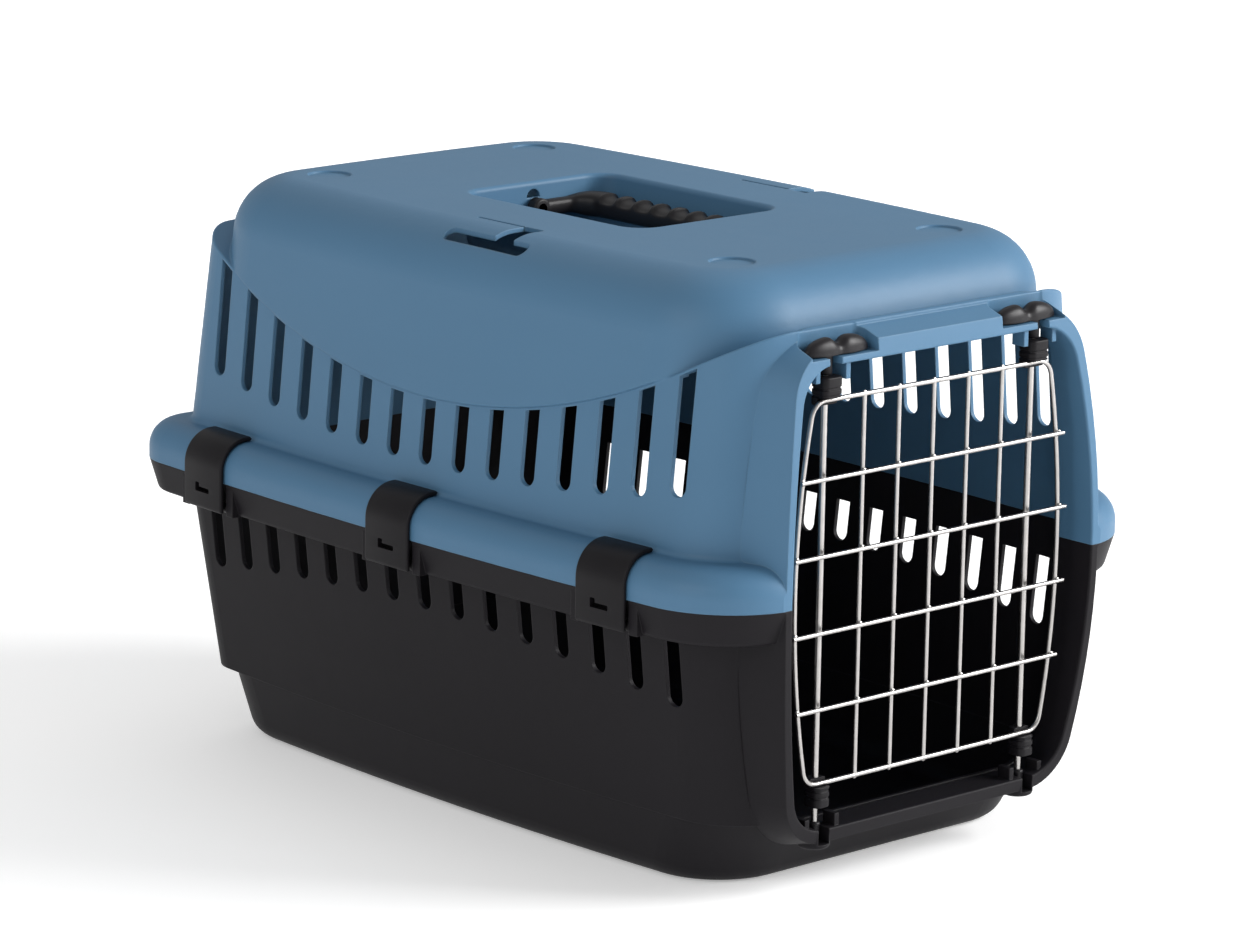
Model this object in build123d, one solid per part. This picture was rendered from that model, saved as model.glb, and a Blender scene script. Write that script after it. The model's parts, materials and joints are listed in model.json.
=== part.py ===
from build123d import *
import os
from math import atan2, degrees, hypot, sqrt

# Pet transport carrier. Millimetres, +Z up, the door faces -Y, +X is the carrier's right side.
# The origin is the middle of the base's underside.

# Body walls
TOP_Z = 298.5
PARTING_Z = 148.0
WALL = 2.4
SIDE_BOW = 2400.0
WALL_HALF_WIDTH = 138.0
WALL_FRONT = -211.5
WALL_REAR = 215.0
REAR_BOW = 5.0
FRONT_CORNER = 38.0
REAR_CORNER = 22.0

# Top shell: a slotted skirt below a raised panel, parted by one long arc
SIDE_DRAFT = 0.097
REAR_DRAFT = 0.060
FRONT_DRAFT = 0.020
PANEL_PROUD = 1.8
PANEL_FRONT = -199.0
PANEL_REAR = 211.0
PANEL_CORNER = 52.0
SHOULDER = 31.0
SMILE_LOW_Z = 214.8
SMILE_LOW_Y = 2.0
SMILE_RADIUS = 394.0
DIMPLE_DIAMETER = 22.0
DIMPLE_DEPTH = 1.2
DIMPLE_X = 70.5
DIMPLE_Y = (-150.0, 154.0)

# Base tub: drafted walls above an inset foot
TUB_DRAFT = 0.113
FOOT_Z = 36.0
FOOT_DRAFT = 0.22
FOOT_CORNER = 44.0
FOOT_FRONT = -204.0
FOOT_FRONT_DRAFT = 0.50
FOOT_INSET = 0.8
BOTTOM_EDGE = 12.0

# Rim flanges where the two halves meet
RIM_HALF_WIDTH = 155.0
RIM_BOW = 3000.0
RIM_FRONT = -231.0
RIM_REAR = 230.0
RIM_FRONT_CORNER = 51.0
RIM_REAR_CORNER = 30.0
RIM_HEIGHT = 20.0
RIM_ROUND = 14.0
BAND_HEIGHT = 17.0
BAND_TAPER = 5.0
BAND_EDGE = 3.0

# Door opening and the hood round it
OPEN_HALF_WIDTH = 102.5
OPEN_BOTTOM = 33.0
OPEN_TOP = 259.8
OPEN_MIDDLE = 147.5
OPEN_SIDE_RADIUS = 475.0
OPEN_CORNER = 22.0
HOOD_FRONT_LIP = 3.0
HOOD_ROOT_LIP = 11.0
HOOD_TOP_FLARE = 1.4
HOOD_FRONT = -236.0
HOOD_ROOT = -204.0
HOOD_BOW = 850.0
HOOD_FACE = -230.0

# Small radii on moulded edges
POCKET_EDGE = 2.5
GUTTER_EDGE = 2.5
ARC_EDGE = 0.8
MOUTH_EDGE = 1.0
DIMPLE_EDGE = 0.9
MOUTH_REACH = 0.4
SHORT_EDGE = 6.0
ON_SURFACE = 0.02

# Reach of cutting blocks, well past everything they cut
FAR = 300.0

# Air slots
SLOT_COUNT = 15
SLOT_PITCH = 25.0
SLOT_WIDTH = 10.0
UPPER_SLOT_LOW = 186.0
UPPER_SLOT_RISE = 0.00048
LOWER_SLOT_LOW = 112.0
LOWER_SLOT_FALL = 0.00045
LOWER_SLOT_TOP = 128.0

# Door wires and the two latch rods
WIRE = 2.2
LOOP_WIRE = 2.4
RUNNING_GAP = 0.1
ROD = 3.2
LOOP_HALF_WIDTH = 90.0
LOOP_BOTTOM = 55.0
LOOP_TOP = 242.5
LOOP_SIDE_RADIUS = 450.0
LOOP_CORNER = 9.0
LOOP_Y = -218.0
BAR_Y = LOOP_Y - (LOOP_WIRE + WIRE) / 2
ROD_GAP = 0.3
ROD_Y = LOOP_Y + (LOOP_WIRE + ROD) / 2 + ROD_GAP
ROD_X = 70.5
BAR_LEVELS = (92.5, 130.0, 167.5, 205.0)
BAR_OVERHANG = 3.0
UPRIGHT_PITCH = 23.5
GUIDE_WIDTH = 13.0
LOWER_GUIDE_WIDTH = 10.0
GUIDE_HEIGHT = 14.0
GUIDE_DEPTH = 11.0
GUIDE_GRIP = 2.6
GUIDE_FORWARD = 1.4
GUIDE_CORNER = 3.5
STEM = 7.0
FOOT_PIN = 6.0
FOOT_PIN_LENGTH = 9.4
FOOT_PIN_LOW = OPEN_BOTTOM - 6.8
NOTCH = 8.2
LOWER_NOTCH = 7.2
NOTCH_REACH = 30.0
PRONG_WIDTH = 2.8
PRONG_DEPTH = 8.0
PRONG_SHIFT = 1.5
PRONG_GAP = 2.0
UPPER_PRONG = 8.0
LOWER_PRONG = 6.0
KNOB_WING = 20.5
KNOB_DEPTH = 10.0
KNOB_SHIFT = 6.5
KNOB_GAP = 0.4
SHELF_Z = 263.2
SEAT_ROOM = 2.6
SEAT_DEPTH = 28.0
SEAT_HEIGHT = 20.0
SEAT_SHIFT = 7.5
SEAT_CORNER = 5.0

# Carrying handle and its pocket
POCKET_HALF_WIDTH = 49.0
POCKET_FRONT = -60.0
POCKET_REAR = 74.0
POCKET_FLOOR = 270.0
POCKET_CORNER = 13.0
POCKET_DEEP_EDGE = 6.0
HANDLE_AXIS_Z = 285.0
HANDLE_REACH = 34.0
HANDLE_PIN = 6.0
HANDLE_GAP = 0.8
ARM_THICK = 7.0
GRIP_WIDE = 15.0
GRIP_DEEP = 13.0
SCALLOPS = 7
SCALLOP_PITCH = 13.5
SCALLOP_RADIUS = 8.5
SCALLOP_DEPTH = 2.0
SCALLOP_SHIFT = 1.5
GRIP_EDGE = 5.0
GRIP_CORNER = 4.0
ARM_HIGH = 9.0
EYE_RADIUS = 5.5

# Seat-belt guides cut into both shoulders
GUIDE_SLOT = ((-50.0, 10.0), (109.0, 117.0))
GUIDE_GROOVE = ((-22.0, 13.0), (89.0, 91.0))
GUIDE_MOUTH = ((-36.0, -22.0), (89.0, 117.0))
GUIDE_CORNERS = (3.9, 0.9, 1.5)
GUIDE_CUT_DEPTH = 60.0

# Rim clips
CLIP_WIDTH = 32.5
CLIP_THICK = 2.4
CLIP_GAP = 0.35
CLIP_CENTRES = (("front", -151.0), ("middle", 2.0), ("rear", 154.5))
CLIP_PIN = 2.4
CLIP_BARREL = 5.4
CLIP_AXIS_IN = 3.4
CLIP_AXIS_Z = 134.5
CLIP_PIN_LENGTH = 42.0
CLIP_WINDOW = (8.0, 12.0, 4.6)
CLIP_WINDOW_DROP = 5.5


def bowed_face(z, half_width, front, rear, front_corner, rear_corner, bow):
    """Rounded rectangle with bowed long sides and a bowed rear end, seen from above."""
    front_half = half_width - front * front / (2 * bow)
    rear_half = half_width - rear * rear / (2 * bow)
    side_rear = rear - REAR_BOW
    left = ThreePointArc((-front_half, front), (-half_width, 0), (-rear_half, side_rear))
    back = ThreePointArc((-rear_half, side_rear), (0, rear), (rear_half, side_rear))
    right = ThreePointArc((rear_half, side_rear), (half_width, 0), (front_half, front))
    face = make_face([left, back, right, Line((front_half, front), (-front_half, front))])
    face = fillet(face.vertices().sort_by(Axis.Y)[:2], front_corner)
    face = fillet(face.vertices().sort_by(Axis.Y)[-2:], rear_corner)
    return Pos(0, 0, z) * face


def skirt_face(z, inset):
    """Outline of the slotted skirt at height z, moved inwards by inset."""
    rise = z - PARTING_Z
    return bowed_face(z, WALL_HALF_WIDTH - SIDE_DRAFT * rise - inset,
                      WALL_FRONT + FRONT_DRAFT * rise + inset, WALL_REAR - REAR_DRAFT * rise - inset,
                      FRONT_CORNER - inset, REAR_CORNER - inset, SIDE_BOW)


def panel_face(z, inset):
    """Outline of the raised top panel at height z, moved inwards by inset."""
    rise = z - PARTING_Z
    return bowed_face(z, WALL_HALF_WIDTH + PANEL_PROUD - SIDE_DRAFT * rise - inset,
                      PANEL_FRONT + FRONT_DRAFT * rise + inset, PANEL_REAR - REAR_DRAFT * rise - inset,
                      PANEL_CORNER - inset, PANEL_CORNER - inset, SIDE_BOW)


def tub_face(z, inset):
    """Outline of the base tub's wall at height z, moved inwards by inset."""
    fall = PARTING_Z - z
    return bowed_face(z, WALL_HALF_WIDTH - TUB_DRAFT * fall - inset,
                      WALL_FRONT + FRONT_DRAFT * fall + inset, WALL_REAR - TUB_DRAFT * fall - inset,
                      FRONT_CORNER - inset, REAR_CORNER - inset, SIDE_BOW)


def foot_face(z, inset):
    """Outline of the inset foot below the tub's wall at height z."""
    fall = FOOT_Z - z
    wall_half = WALL_HALF_WIDTH - TUB_DRAFT * (PARTING_Z - FOOT_Z)
    wall_rear = WALL_REAR - TUB_DRAFT * (PARTING_Z - FOOT_Z)
    return bowed_face(z, wall_half - FOOT_INSET - FOOT_DRAFT * fall - inset,
                      FOOT_FRONT + FOOT_FRONT_DRAFT * fall + inset,
                      wall_rear - FOOT_INSET - FOOT_DRAFT * fall - inset,
                      FOOT_CORNER - inset, FOOT_CORNER - inset, SIDE_BOW)


def rim_face(z, inset):
    """Outline of the rim flange at height z, moved inwards by inset."""
    return bowed_face(z, RIM_HALF_WIDTH - inset, RIM_FRONT + inset, RIM_REAR - inset,
                      RIM_FRONT_CORNER - inset, RIM_REAR_CORNER - inset, RIM_BOW)


def between(face_at, low, high, inset):
    """Solid between two heights of an outline."""
    return loft([face_at(low, inset), face_at(high, inset)], ruled=True)


def round_top(solid, radius):
    """Round the edge of a solid's highest face."""
    return fillet(solid.faces().sort_by(Axis.Z)[-1].edges(), radius)


def round_bottom(solid, radius):
    """Round the edge of a solid's lowest face."""
    return fillet(solid.faces().sort_by(Axis.Z)[0].edges(), radius)


def smile_height(y, radius=SMILE_RADIUS):
    """Height of the long arc that parts the skirt from the panel."""
    return SMILE_LOW_Z + SMILE_RADIUS - sqrt(radius ** 2 - (y - SMILE_LOW_Y) ** 2)


def above_smile(shift):
    """Everything above the long arc, whose radius shrinks by shift."""
    radius = SMILE_RADIUS - shift
    reach = 245.0
    above = TOP_Z + 100
    arc = ThreePointArc((-reach, smile_height(-reach, radius)), (SMILE_LOW_Y, SMILE_LOW_Z + shift),
                        (reach, smile_height(reach, radius)))
    lid = Polyline((reach, smile_height(reach, radius)), (reach, above), (-reach, above),
                   (-reach, smile_height(-reach, radius)))
    return extrude(Plane.YZ * make_face([arc] + lid.edges()), FAR, both=True)


def opening_face(grow, y):
    """The door opening's outline grown outwards, in the plane at y."""
    low = OPEN_BOTTOM - grow
    high = OPEN_TOP + grow * HOOD_TOP_FLARE
    half = OPEN_HALF_WIDTH + grow
    low_half = half - (OPEN_MIDDLE - low) ** 2 / (2 * OPEN_SIDE_RADIUS)
    high_half = half - (high - OPEN_MIDDLE) ** 2 / (2 * OPEN_SIDE_RADIUS)
    left = ThreePointArc((-low_half, low), (-half, OPEN_MIDDLE), (-high_half, high))
    right = ThreePointArc((high_half, high), (half, OPEN_MIDDLE), (low_half, low))
    top = Line((-high_half, high), (high_half, high))
    bottom = Line((low_half, low), (-low_half, low))
    face = fillet(make_face([left, top, right, bottom]).vertices(), OPEN_CORNER + grow)
    return Location((0, y, 0), (90, 0, 0)) * face


def hood_block():
    """The hood's outer solid, whose front face bows forward at mid height."""
    block = loft([opening_face(HOOD_ROOT_LIP, HOOD_ROOT), opening_face(HOOD_FRONT_LIP, HOOD_FRONT)],
                 ruled=True)
    return block & bow_cylinder()


def bow_cylinder():
    """Big cylinder across the carrier that trims the front to one bowed face."""
    axis = Location((0, HOOD_FACE + HOOD_BOW, OPEN_MIDDLE), (0, 90, 0))
    return axis * Cylinder(HOOD_BOW, 2 * FAR)


def opening_cut():
    """The door opening, cut from the front into the cabin."""
    past = 9.0
    return loft([opening_face(0, HOOD_ROOT + past), opening_face(0, HOOD_FRONT - past)], ruled=True)


def slab(low, high):
    """A wide slab between two heights."""
    return Pos(0, 0, (low + high) / 2) * Box(2 * FAR, 2 * FAR, high - low)


def slot_places():
    """The y of each air slot."""
    return [SLOT_PITCH * (i - (SLOT_COUNT - 1) / 2) for i in range(SLOT_COUNT)]


def slot_cutter(y, low, high, x_side):
    """One air slot through a side wall, round at its lower end and square at its top."""
    depth = 60.0
    x = x_side * (WALL_HALF_WIDTH - 8)
    box = Pos(x, y, (low + high) / 2) * Box(depth, SLOT_WIDTH, high - low)
    end = Location((x, y, low), (0, 90, 0)) * Cylinder(SLOT_WIDTH / 2, depth)
    return box + end


def upper_slots():
    """Slots of the skirt, which run up to the long arc."""
    cutters = []
    past_arc = 25.0
    below_arc = 1.5
    for y in slot_places():
        low = UPPER_SLOT_LOW + UPPER_SLOT_RISE * y * y
        for side in (-1, 1):
            cutters.append(slot_cutter(y, low, smile_height(y) + past_arc, side))
    return Part() + cutters - above_smile(-below_arc)


def lower_slots():
    """Slots of the tub, just under the band."""
    cutters = []
    for y in slot_places():
        low = LOWER_SLOT_LOW - LOWER_SLOT_FALL * y * y
        for side in (-1, 1):
            cutters.append(slot_cutter(y, low, LOWER_SLOT_TOP, side))
    return cutters


def top_block(inset):
    """Skirt and panel as one solid, moved inwards by inset."""
    skirt = between(skirt_face, PARTING_Z - inset, TOP_Z, inset) - above_smile(-inset)
    panel = round_top(between(panel_face, PARTING_Z - inset, TOP_Z - inset, inset), SHOULDER - inset)
    raised = panel & above_smile(inset)
    if inset:
        core = panel & between(skirt_face, PARTING_Z - inset, TOP_Z, inset)
        return raised + skirt + core
    return raised + skirt


def pocket_solid(grow):
    """The handle's pocket, grown outwards."""
    width = 2 * (POCKET_HALF_WIDTH + grow)
    length = POCKET_REAR - POCKET_FRONT + 2 * grow
    middle = (POCKET_REAR + POCKET_FRONT) / 2
    plan = RectangleRounded(width, length, POCKET_CORNER + grow)
    base = extrude(Pos(0, middle, POCKET_FLOOR - grow) * plan, TOP_Z + POCKET_DEEP_EDGE - POCKET_FLOOR)
    return round_bottom(base, POCKET_DEEP_EDGE + grow)


def belt_guide_cut():
    """Slot, groove and mouth that leave a belt tongue on each shoulder."""
    cutters = []
    for side in (-1, 1):
        for (span, reach), corner in zip((GUIDE_SLOT, GUIDE_GROOVE, GUIDE_MOUTH), GUIDE_CORNERS):
            centre = Pos(side * sum(reach) / 2, sum(span) / 2, TOP_Z)
            box = centre * Box(reach[1] - reach[0], span[1] - span[0], GUIDE_CUT_DEPTH)
            cutters.append(fillet(box.edges().filter_by(Axis.Z), corner))
    return cutters


def handle_holes():
    """Pin bores and the half-round windows above them, through both ends of the pocket."""
    middle = (POCKET_FRONT + POCKET_REAR) / 2
    length = POCKET_REAR - POCKET_FRONT + 16
    window_radius = 4.5
    sill = HANDLE_AXIS_Z + 5
    bore = Location((0, middle, HANDLE_AXIS_Z), (90, 0, 0)) * Cylinder(HANDLE_PIN / 2 + RUNNING_GAP, length)
    window = Location((0, middle, sill), (90, 0, 0)) * Cylinder(window_radius, length)
    return bore + (window & slab(sill, TOP_Z))


def latch_notches(z, width, height):
    """Notches open to the front, where the latch stems pass the hood."""
    cutters = []
    for side in (-1, 1):
        cutters.append(Location((side * ROD_X, ROD_Y, z)) * Cylinder(width / 2, height))
        cutters.append(Pos(side * ROD_X, ROD_Y - NOTCH_REACH / 2, z) * Box(width, NOTCH_REACH, height))
    return cutters


def knob_seats():
    """Flat seats for the two latch knobs on the hood's upper shelf."""
    cutters = []
    for side in (-1, 1):
        seat = Box(2 * KNOB_WING + SEAT_ROOM, SEAT_DEPTH, SEAT_HEIGHT)
        at = Pos(side * (ROD_X - KNOB_SHIFT), ROD_Y - SEAT_SHIFT, SHELF_Z + SEAT_HEIGHT / 2)
        cutters.append(fillet((at * seat).edges().filter_by(Axis.Z), SEAT_CORNER))
    return cutters


def stem_prongs(z_low, z_high):
    """Pairs of short fingers beside each latch notch."""
    prongs = []
    for side in (-1, 1):
        for way in (-1, 1):
            x = side * ROD_X + way * (GUIDE_WIDTH / 2 + PRONG_GAP + PRONG_WIDTH / 2)
            at = Pos(x, ROD_Y - PRONG_SHIFT, (z_low + z_high) / 2)
            prongs.append(at * Box(PRONG_WIDTH, PRONG_DEPTH, z_high - z_low))
    return prongs


def level_edges(solid, z, half_width, front, rear):
    """Edges that lie flat at height z within a rectangle."""
    found = []
    for edge in solid.edges():
        box = edge.bounding_box()
        flat = box.min.Z > z - ON_SURFACE and box.max.Z < z + ON_SURFACE
        if flat and max(-box.min.X, box.max.X) < half_width and box.min.Y > front and box.max.Y < rear:
            found.append(edge)
    return found


def cylinder_edges(solid, y, z, radius):
    """Edges that lie on a big cylinder across the carrier."""
    def gap(point):
        return abs(hypot(point.Y - y, point.Z - z) - radius)
    steps = (0, 0.25, 0.5, 0.75, 1)
    return [edge for edge in solid.edges() if max(gap(edge @ step) for step in steps) < ON_SURFACE]


def arc_edges(solid):
    """Edges of the step along the long arc, without the slots' short tops."""
    centre_z = SMILE_LOW_Z + SMILE_RADIUS
    found = cylinder_edges(solid, SMILE_LOW_Y, centre_z, SMILE_RADIUS)
    return [edge for edge in found if edge.length > SHORT_EDGE]


def mouth_edges(solid):
    """Edges of the door opening on the bowed front face."""
    found = []
    for edge in cylinder_edges(solid, HOOD_FACE + HOOD_BOW, OPEN_MIDDLE, HOOD_BOW):
        middle = edge @ 0.5
        outline = opening_face(0, middle.Y).faces()[0].outer_wire()
        if outline.distance_to(middle) < MOUTH_REACH:
            found.append(edge)
    return found


def soften_shell(shell):
    """Round the top shell's pocket, gutter, arc, front and dimples."""
    shell = fillet(mouth_edges(shell), MOUTH_EDGE)
    shell = fillet(arc_edges(shell), ARC_EDGE)
    gutter_z = PARTING_Z + RIM_HEIGHT
    gutter = level_edges(shell, gutter_z, WALL_HALF_WIDTH + 1, WALL_FRONT - 1.5, WALL_REAR + 1.5)
    shell = fillet(gutter, GUTTER_EDGE)
    in_pocket = POCKET_HALF_WIDTH + 1
    shell = fillet(level_edges(shell, TOP_Z, in_pocket, POCKET_FRONT - 1, POCKET_REAR + 1), POCKET_EDGE)
    beyond_dimple = DIMPLE_DIAMETER / 2 + 1
    dimples = []
    for edge in level_edges(shell, TOP_Z, DIMPLE_X + beyond_dimple, WALL_FRONT, WALL_REAR):
        middle = edge.center()
        if any(hypot(abs(middle.X) - DIMPLE_X, middle.Y - y) < beyond_dimple for y in DIMPLE_Y):
            dimples.append(edge)
    return fillet(dimples, DIMPLE_EDGE)


def make_top_shell():
    outer = top_block(0)
    hood = hood_block() & slab(PARTING_Z, TOP_Z)
    rim = extrude(rim_face(PARTING_Z, 0), RIM_HEIGHT)
    rim = round_top(rim, RIM_ROUND) & bow_cylinder()
    hollow = extrude(rim_face(PARTING_Z, WALL), RIM_HEIGHT - WALL)
    hollow = round_top(hollow, RIM_ROUND - WALL) - outer - hood
    cabin = top_block(WALL) - pocket_solid(WALL)
    shell = outer + hood + rim
    shell = shell - hollow - cabin - opening_cut() - pocket_solid(0)
    shell = shell + stem_prongs(OPEN_TOP - UPPER_PRONG, OPEN_TOP + 1)
    shell = shell - knob_seats() - latch_notches(OPEN_TOP, NOTCH, 2 * UPPER_PRONG)
    shell = shell - upper_slots() - belt_guide_cut() - handle_holes()
    for x in (-DIMPLE_X, DIMPLE_X):
        for y in DIMPLE_Y:
            dish = Location((x, y, TOP_Z)) * Cylinder(DIMPLE_DIAMETER / 2, 2 * DIMPLE_DEPTH)
            shell = shell - dish
    return soften_shell(shell)


def clip_frame(side, y):
    """Local frame on the rim at a clip: x points outwards, y runs along the rim."""
    reach = RIM_HALF_WIDTH - y * y / (2 * RIM_BOW)
    turn = degrees(atan2(y, RIM_BOW))
    if side > 0:
        return Location((reach, y, 0), (0, 0, turn))
    return Location((-reach, y, 0), (0, 0, 180 - turn))


def clip_pockets():
    """Windows in the band where the clips lie, with room for their barrels."""
    cutters = []
    height = BAND_HEIGHT + 6
    depth = 9.4
    past_rim = 2.3
    side_gap = 0.4
    for side in (-1, 1):
        for _, y in CLIP_CENTRES:
            room = Box(depth, CLIP_WIDTH + 2 * side_gap, height)
            at = Pos(past_rim - depth / 2, 0, PARTING_Z - height / 2 + ON_SURFACE)
            cutters.append(clip_frame(side, y) * at * room)
    return cutters


def clip_lugs():
    """Solid lugs beside each pocket that hold the hinge pin's ends."""
    lugs = []
    depth, width, height = 6.2, 5.6, 14.8
    side_gap = 0.4
    for side in (-1, 1):
        for _, y in CLIP_CENTRES:
            for way in (-1, 1):
                along = way * (CLIP_WIDTH / 2 + side_gap + width / 2)
                at = Pos(-CLIP_AXIS_IN - 0.4, along, CLIP_AXIS_Z + 4)
                lugs.append(clip_frame(side, y) * at * Box(depth, width, height))
    return lugs


def clip_pin_places():
    """The hinge pin's axis at each clip."""
    return [clip_frame(side, y) * Location((-CLIP_AXIS_IN, 0, CLIP_AXIS_Z), (90, 0, 0))
            for side in (-1, 1) for _, y in CLIP_CENTRES]


def tub_block(inset):
    """Wall and foot of the base as one solid, moved inwards by inset."""
    wall = between(tub_face, FOOT_Z + inset, PARTING_Z + inset, inset)
    foot = between(foot_face, inset, FOOT_Z + 2 * inset, inset)
    foot = round_bottom(foot, BOTTOM_EDGE - inset)
    return wall + foot


def foot_sockets():
    """Half-round bosses under the front lip, where the latch feet drop in."""
    radius = 8.0
    height = 9.0
    z = OPEN_BOTTOM - height / 2 - 1
    boss = Cylinder(radius, height)
    boss = fillet(boss.faces().sort_by(Axis.Z)[0].edges(), 2)
    return [Location((side * ROD_X, ROD_Y, z)) * boss for side in (-1, 1)]


def make_base_tub():
    outer = tub_block(0)
    hood = hood_block() & slab(0, PARTING_Z)
    band = loft([rim_face(PARTING_Z - BAND_HEIGHT, BAND_TAPER), rim_face(PARTING_Z, 0)], ruled=True)
    band = round_bottom(band, BAND_EDGE) & bow_cylinder()
    below = 5.0
    low_inset = WALL + BAND_TAPER * (BAND_HEIGHT + below) / BAND_HEIGHT
    hollow = loft([rim_face(PARTING_Z - BAND_HEIGHT - below, low_inset), rim_face(PARTING_Z - WALL, WALL)],
                  ruled=True)
    hollow = hollow - outer - hood
    tub = outer + hood + band
    tub = tub - hollow + (Part() + clip_lugs() - outer) + foot_sockets()
    tub = tub - tub_block(WALL) - opening_cut() - lower_slots() - clip_pockets()
    tub = tub + stem_prongs(OPEN_BOTTOM - 2, OPEN_BOTTOM + LOWER_PRONG)
    tub = tub - latch_notches(OPEN_BOTTOM, LOWER_NOTCH, 2.5 * LOWER_PRONG)
    tub = fillet(mouth_edges(tub), MOUTH_EDGE)
    for place in clip_pin_places():
        tub = tub - place * Cylinder(CLIP_PIN / 2, CLIP_PIN_LENGTH)
    return tub


def make_rim_clip(side, y):
    """Strap that hooks over the rim: a barrel, an outer leg and a bent top."""
    inner = RIM_ROUND + CLIP_GAP
    outer = inner + CLIP_THICK
    bend_x = -RIM_ROUND
    bend_z = PARTING_Z + RIM_HEIGHT - RIM_ROUND
    leg = Pos(bend_x + inner + CLIP_THICK / 2, (CLIP_AXIS_Z + bend_z) / 2) * Rectangle(
        CLIP_THICK, bend_z - CLIP_AXIS_Z)
    bend = Circle(outer) - Circle(inner)
    quarter = Pos(outer / 2, outer / 2) * Rectangle(outer, outer)
    bend = Pos(bend_x, bend_z) * (bend & quarter)
    lip_length = 2.8
    lip = Pos(bend_x - lip_length / 2, bend_z + inner + CLIP_THICK / 2) * Rectangle(lip_length, CLIP_THICK)
    barrel = Pos(-CLIP_AXIS_IN, CLIP_AXIS_Z) * Circle(CLIP_BARREL / 2)
    web = Pos(-CLIP_AXIS_IN / 2 + 0.4, CLIP_AXIS_Z + 0.4) * Rectangle(CLIP_AXIS_IN + 0.9, CLIP_THICK)
    profile = leg + bend + lip + barrel + web
    profile = profile - Pos(-CLIP_AXIS_IN, CLIP_AXIS_Z) * Circle(CLIP_PIN / 2 + RUNNING_GAP)
    strap = extrude(Location((0, 0, 0), (90, 0, 0)) * profile, CLIP_WIDTH / 2, both=True)
    window = Pos(CLIP_GAP + CLIP_THICK / 2, 0, PARTING_Z - CLIP_WINDOW_DROP) * Box(*CLIP_WINDOW)
    strap = strap - window
    return clip_frame(side, y) * strap


def make_clip_pins():
    return Part() + [place * Cylinder(CLIP_PIN / 2, CLIP_PIN_LENGTH) for place in clip_pin_places()]


def loop_path():
    """Centre line of the door's outer wire."""
    middle = (LOOP_BOTTOM + LOOP_TOP) / 2
    rise = (LOOP_TOP - LOOP_BOTTOM) / 2
    half = LOOP_HALF_WIDTH
    end_half = half - rise * rise / (2 * LOOP_SIDE_RADIUS)
    left = ThreePointArc((-end_half, LOOP_BOTTOM), (-half, middle), (-end_half, LOOP_TOP))
    right = ThreePointArc((end_half, LOOP_TOP), (half, middle), (end_half, LOOP_BOTTOM))
    top = Line((-end_half, LOOP_TOP), (end_half, LOOP_TOP))
    bottom = Line((end_half, LOOP_BOTTOM), (-end_half, LOOP_BOTTOM))
    face = fillet(make_face([left, top, right, bottom]).vertices(), LOOP_CORNER)
    return (Location((0, LOOP_Y, 0), (90, 0, 0)) * face).face().outer_wire()


def loop_half_at(z):
    """Half-width of the door's outer wire at height z."""
    middle = (LOOP_BOTTOM + LOOP_TOP) / 2
    return LOOP_HALF_WIDTH - (z - middle) ** 2 / (2 * LOOP_SIDE_RADIUS)


def make_door_loop():
    path = loop_path()
    start = Plane(origin=path @ 0, z_dir=path % 0)
    return sweep(start * Circle(LOOP_WIRE / 2), path)


def make_door_bars():
    bars = []
    for z in BAR_LEVELS:
        length = 2 * (loop_half_at(z) + BAR_OVERHANG)
        bars.append(Location((0, BAR_Y, z), (0, 90, 0)) * Cylinder(WIRE / 2, length))
    return Part() + bars


def make_door_uprights(loop):
    height = LOOP_TOP - LOOP_BOTTOM
    middle = (LOOP_TOP + LOOP_BOTTOM) / 2
    uprights = []
    for place in range(-2, 3):
        wire = Location((place * UPRIGHT_PITCH, LOOP_Y, middle)) * Cylinder(WIRE / 2, height)
        cut = wire - loop
        uprights.append(cut.solids().sort_by(SortBy.VOLUME)[-1])
    return Part() + uprights


def make_rod_guide(side, width, z_low, loop):
    """Black guide block clipped on the door's outer wire, with the latch rod's bore."""
    at = Pos(side * ROD_X, ROD_Y - GUIDE_FORWARD, z_low + GUIDE_HEIGHT / 2)
    block = at * Box(width, GUIDE_DEPTH, GUIDE_HEIGHT)
    block = fillet(block.edges().filter_by(Axis.Z), GUIDE_CORNER)
    bore = Location((side * ROD_X, ROD_Y, z_low)) * Cylinder(ROD / 2 + RUNNING_GAP, 4 * GUIDE_HEIGHT)
    return (block - bore - loop).solids().sort_by(SortBy.VOLUME)[-1]


def make_latch_rod(side):
    low = FOOT_PIN_LOW + FOOT_PIN_LENGTH / 3
    high = SHELF_Z + 5
    return Location((side * ROD_X, ROD_Y, (low + high) / 2)) * Cylinder(ROD / 2, high - low)


def make_latch_foot(side, rod):
    z = FOOT_PIN_LOW + FOOT_PIN_LENGTH / 2
    pin = Location((side * ROD_X, ROD_Y, z)) * Cylinder(FOOT_PIN / 2, FOOT_PIN_LENGTH)
    return chamfer(pin.faces().sort_by(Axis.Z)[0].edges(), 1) - rod


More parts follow.
